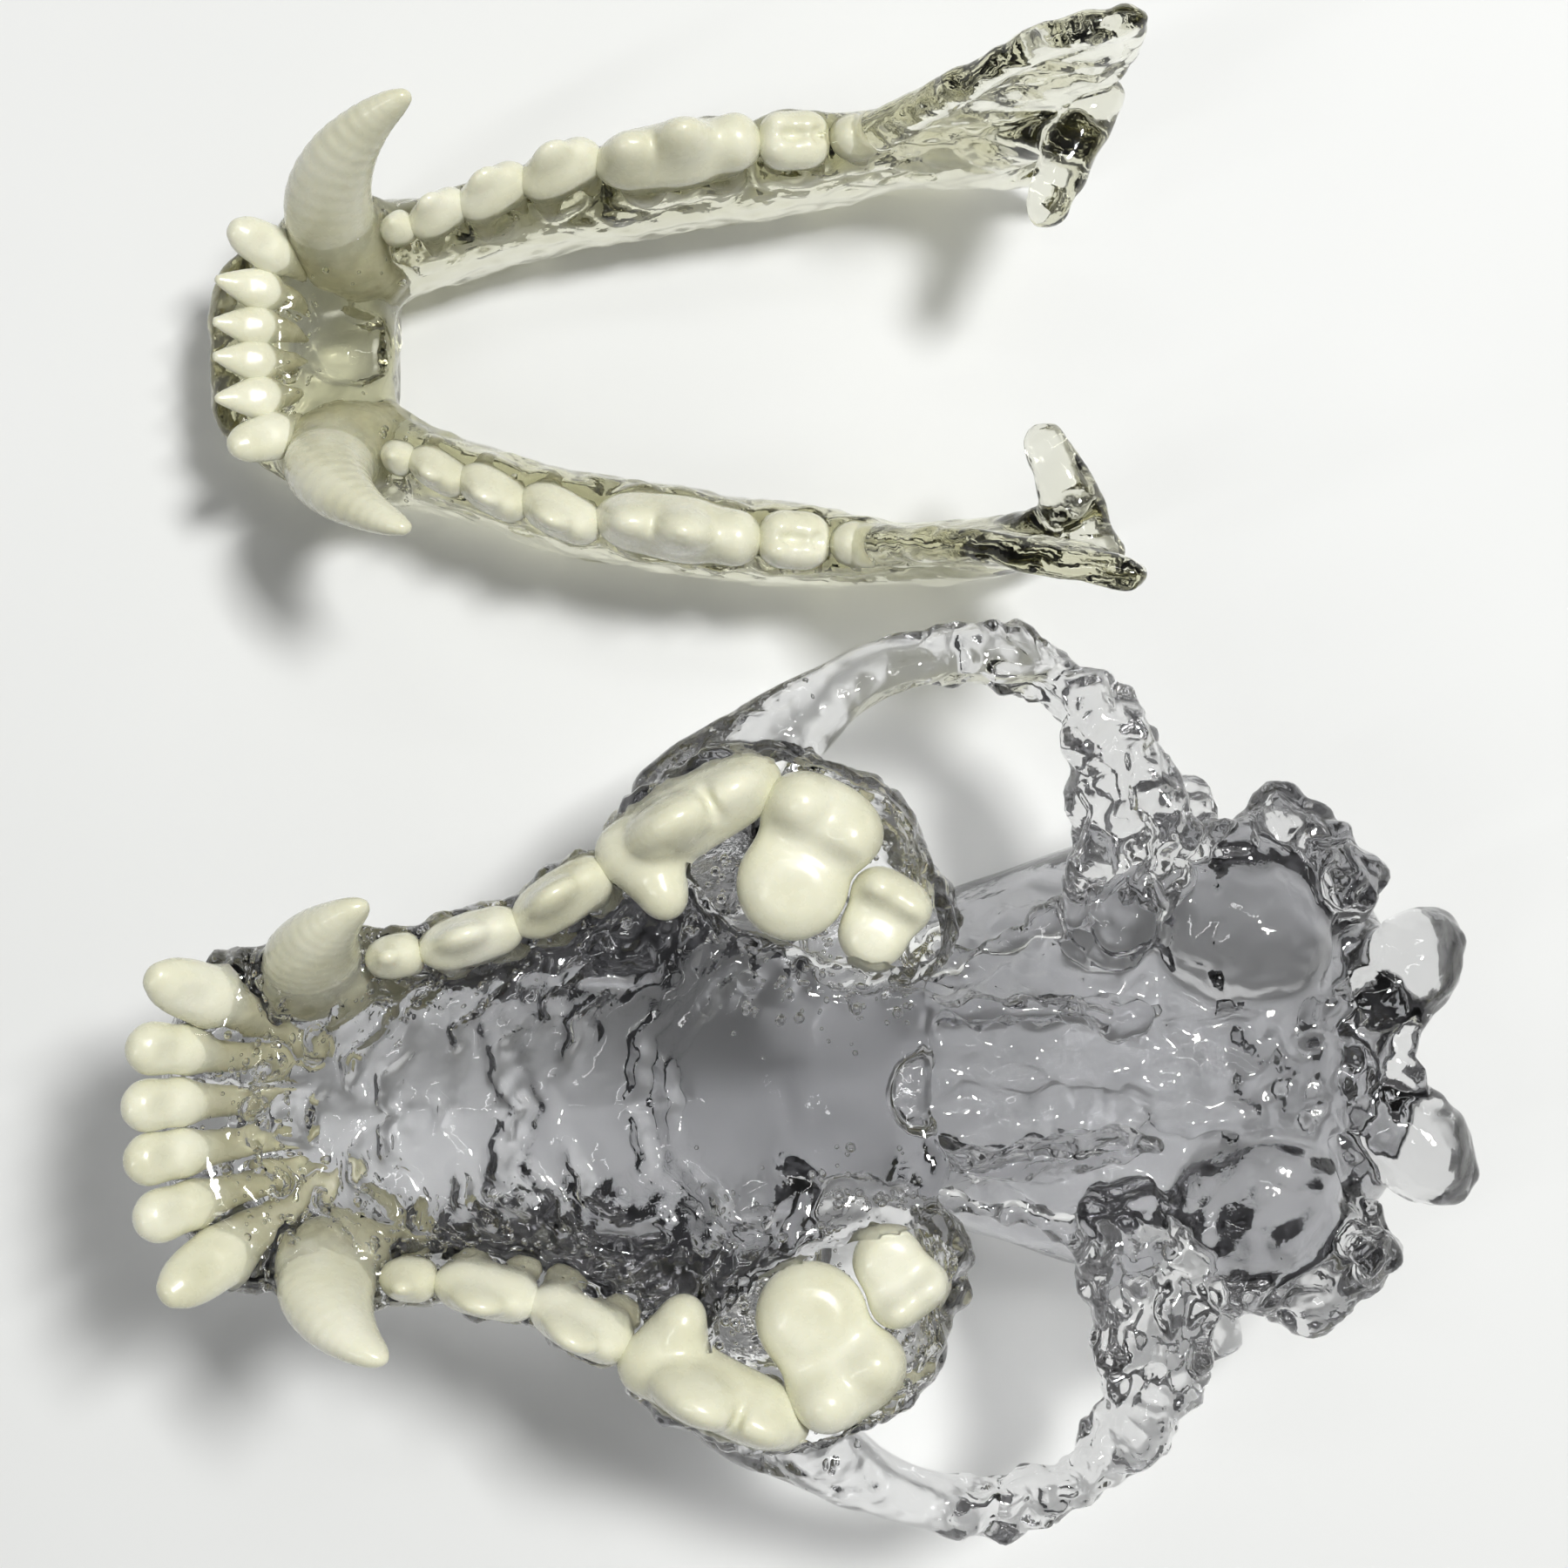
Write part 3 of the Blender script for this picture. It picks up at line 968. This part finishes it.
skull_resin = clear_resin("skull_resin", tint=(0.90, 0.90, 0.90), tint_thin=(0.97, 0.97, 0.97),
                          absorb=(0.80, 0.80, 0.81), density=72.0, shade=(0.42, 0.42, 0.42))
jaw_resin = clear_resin("jaw_resin", tint=(0.92, 0.92, 0.86), tint_thin=(0.98, 0.98, 0.94),
                        absorb=(0.80, 0.79, 0.64), density=70.0, shade=(0.32, 0.32, 0.30))
ivory = tooth_resin("ivory_tooth_resin")
build_skull(skull_resin)
build_lower_jaw(jaw_resin)
add_teeth("upper", UPPER_TEETH, PALATE_Z, SKULL_PLACE, ivory)
add_teeth("lower", LOWER_TEETH, JAW_GUM_Z, JAW_PLACE, ivory)


# ---------------------------------------------------------------- table, light and camera

CAMERA_HEIGHT = 0.310
VIEW_WIDTH = 0.182          # width of table in the picture
CAMERA_SIDE = (-0.0025, 0.0007)     # where the camera hangs over the row's origin
SENSOR = 36.0               # millimetres
FLOOR_HALF = 1.2

# name, place, size, power and colour
LIGHTS = [
    ("key", (0.28, 0.21, 0.82), (0.14, 0.14), 6.6, (1.0, 0.995, 0.985)),
    ("fill", (-0.50, -0.22, 0.80), (0.04, 0.50), 0.8, (0.99, 0.995, 1.0)),
    ("strip", (0.05, 0.45, 0.85), (0.50, 0.03), 0.5, (1.0, 1.0, 1.0)),
]


def add_floor():
    mesh = bpy.data.meshes.new("table")
    corners = [(x * FLOOR_HALF, y * FLOOR_HALF, 0) for x, y in ((-1, -1), (1, -1), (1, 1), (-1, 1))]
    mesh.from_pydata(corners, [], [(0, 1, 2, 3)])
    mesh.materials.append(table_top("table_top"))
    table = bpy.data.objects.new("table", mesh)
    bpy.context.scene.collection.objects.link(table)


def add_area_light(name, place, size, power, colour):
    data = bpy.data.lights.new(name, "AREA")
    data.shape = "RECTANGLE"
    data.size, data.size_y = size
    data.energy = power
    data.color = colour
    light = bpy.data.objects.new(name, data)
    light.location = place
    light.rotation_euler = (-Vector(place)).to_track_quat("-Z", "Y").to_euler()
    bpy.context.scene.collection.objects.link(light)


def add_world():
    """A soft studio all round: pale walls, a dim band above them and a pale ceiling."""
    world = bpy.data.worlds.new("studio")
    world.use_nodes = True
    nodes, links = world.node_tree.nodes, world.node_tree.links
    where = nodes.new("ShaderNodeTexCoord")
    parts = nodes.new("ShaderNodeSeparateXYZ")
    links.new(where.outputs["Generated"], parts.inputs["Vector"])
    sky = ramp_node(nodes, links, parts.outputs["Z"], [(0.0, (0.22, 0.22, 0.22)), (0.30, (0.07, 0.07, 0.07)),
                                                       (0.8, (0.24, 0.24, 0.24))])
    links.new(sky.outputs["Color"], nodes["Background"].inputs["Color"])
    bpy.context.scene.world = world


def add_camera():
    data = bpy.data.cameras.new("camera")
    data.sensor_width = SENSOR
    data.lens = SENSOR * CAMERA_HEIGHT / VIEW_WIDTH
    data.clip_start = 0.01
    camera = bpy.data.objects.new("camera", data)
    camera.location = (*CAMERA_SIDE, CAMERA_HEIGHT)
    bpy.context.scene.collection.objects.link(camera)
    bpy.context.scene.camera = camera


add_floor()
add_world()
for light in LIGHTS:
    add_area_light(*light)
add_camera()
bpy.context.scene.view_settings.view_transform = "Standard"
